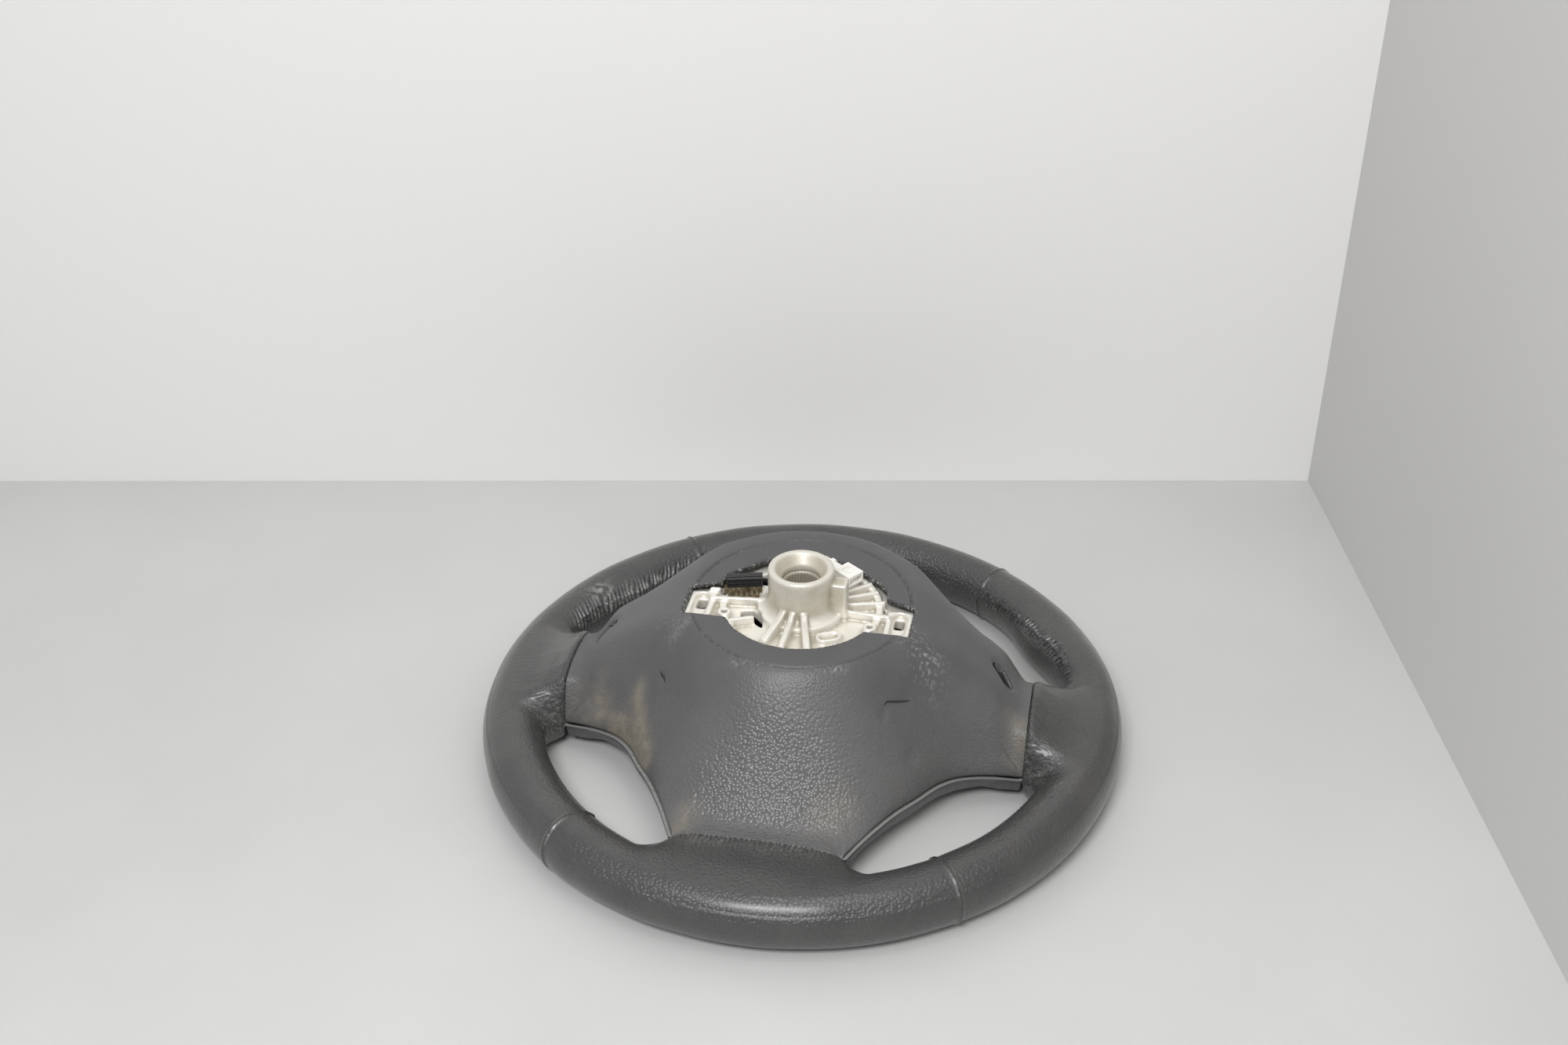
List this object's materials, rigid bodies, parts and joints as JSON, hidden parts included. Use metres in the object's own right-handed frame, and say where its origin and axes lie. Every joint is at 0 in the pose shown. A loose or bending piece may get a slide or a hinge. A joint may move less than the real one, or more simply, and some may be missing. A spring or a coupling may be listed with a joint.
{
  "type": "steering wheel",
  "caption": "Four-spoke leather steering wheel seen from its column side, with moulded rear cover, cast hub with serrated bore, switch pods and an open airbag well.",
  "frame": {"origin": "on the steering axis, in the plane of the rim's front (driver's) face, which is the lowest plane of the part as it lies", "axes": "+Z is the steering axis, from the driver's side to the column side; +Y is towards 12 o'clock; +X is to the right when the wheel is seen from the column side with 12 o'clock up"},
  "size_m": [0.376, 0.376, 0.119],
  "materials": {
    "cast_metal": "as cast, matt",
    "bush_steel": "machined",
    "rim_foam": "moulded foam",
    "leather": "grained, worn satin",
    "cover_plastic": "grained soft-touch",
    "trim_plastic": "fine texture",
    "button_plastic": "satin",
    "board": "lacquered board",
    "spring_wire": "drawn wire",
    "bracket_metal": "dull, stained",
    "plug_black": "moulded",
    "plug_white": "moulded",
    "loom_wrap": "taped",
    "screw_steel": "black coated"
  },
  "bodies": {
    "wheel": {"armature": "cast_metal", "serrated_bush": "bush_steel", "rim_foam": "rim_foam", "leather_top": "leather", "leather_right": "leather", "leather_left": "leather", "leather_bottom": "leather", "rear_cover": "cover_plastic", "front_bezel": "trim_plastic", "airbag_clip_left": "spring_wire", "airbag_clip_right": "spring_wire", "switch_pod_left": "trim_plastic", "switch_pod_right": "trim_plastic", "switch_board_left": "board", "switch_board_right": "board", "plug_bracket": "bracket_metal", "black_plug": "plug_black", "white_plug": "plug_white", "loom_left": "loom_wrap", "loom_right": "loom_wrap", "bezel_screws": "screw_steel", "pod_screws": "screw_steel"},
    "volume": {"volume_rocker": "button_plastic"},
    "phone": {"phone_button": "button_plastic"},
    "voice": {"voice_button": "button_plastic"},
    "track": {"track_rocker": "button_plastic"},
    "mode": {"mode_button": "button_plastic"},
    "menu": {"menu_button": "button_plastic"}
  },
  "joints": [
    {"name": "volume_rock", "type": "hinge", "parent": "wheel", "child": "volume", "pos_m": [-0.094, -0.008, 0.0125], "axis": [1, 0, 0], "range_deg": [-4, 4], "stiffness_Nm_per_rad": 0.15},
    {"name": "track_rock", "type": "hinge", "parent": "wheel", "child": "track", "pos_m": [0.094, -0.008, 0.0125], "axis": [1, 0, 0], "range_deg": [-4, 4], "stiffness_Nm_per_rad": 0.15},
    {"name": "phone_press", "type": "slide", "parent": "wheel", "child": "phone", "axis": [0, 0, 1], "range_m": [0, 0.001], "stiffness_N_per_m": 1500},
    {"name": "voice_press", "type": "slide", "parent": "wheel", "child": "voice", "axis": [0, 0, 1], "range_m": [0, 0.001], "stiffness_N_per_m": 1500},
    {"name": "mode_press", "type": "slide", "parent": "wheel", "child": "mode", "axis": [0, 0, 1], "range_m": [0, 0.001], "stiffness_N_per_m": 1500},
    {"name": "menu_press", "type": "slide", "parent": "wheel", "child": "menu", "axis": [0, 0, 1], "range_m": [0, 0.001], "stiffness_N_per_m": 1500}
  ]
}
